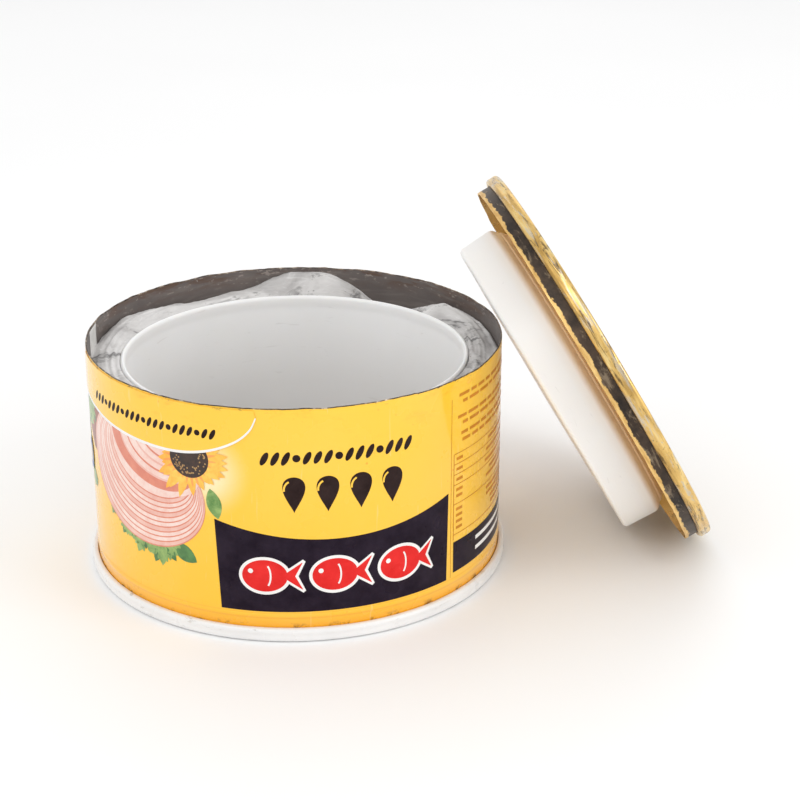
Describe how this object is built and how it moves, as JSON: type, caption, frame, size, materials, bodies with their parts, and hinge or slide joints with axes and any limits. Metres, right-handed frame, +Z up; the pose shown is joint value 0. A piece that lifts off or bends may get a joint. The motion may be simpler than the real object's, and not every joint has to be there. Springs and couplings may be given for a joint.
{
  "type": "tin money box",
  "caption": "Hidden money box made from an upturned printed food tin, with a cup bedded in filler inside and its cut base end as a plugged lid leaning at the side.",
  "frame": {"origin": "bottom centre of the box round the tin and its leaning lid, on the surface they stand on", "axes": "+Z up along the tin's axis, +X from the tin towards the lid that leans on its right side, +Y away from the front of the printed label"},
  "size_m": [0.1956, 0.1454, 0.1154],
  "materials": {
    "printed_tinplate": null,
    "white_enamel": "satin",
    "white_lacquer": "satin",
    "gold_lacquer": "worn gold lacquer over bright tinplate",
    "cut_tinplate": "scratched, dark, with a bright cut edge",
    "seam_compound": "matt",
    "plaster": "rough",
    "white_plastic": "smooth",
    "plug_plastic": "smooth",
    "glue": "cured"
  },
  "bodies": {
    "tin": {"body_wall": "printed_tinplate", "side_weld_stripe": "white_lacquer", "top_end_panel": "printed_tinplate", "top_seam_ring": "white_enamel", "top_seam_compound": "seam_compound", "plaster_bed": "plaster", "plaster_ring": "plaster", "plaster_lump_left": "plaster", "plaster_lump_back": "plaster", "plaster_lump_right": "plaster", "inner_cup": "white_plastic"},
    "lid": {"base_end_panel": "gold_lacquer", "base_seam_ring": "gold_lacquer", "base_seam_compound": "seam_compound", "cut_wall_strip": "cut_tinplate", "glue_ring": "glue", "plug_cap": "plug_plastic"}
  },
  "joints": [
    {"name": "lid_pull", "type": "slide", "parent": "tin", "child": "lid", "axis": [0.8554, 0.1355, 0.5], "range_m": [0, 0.08]}
  ]
}
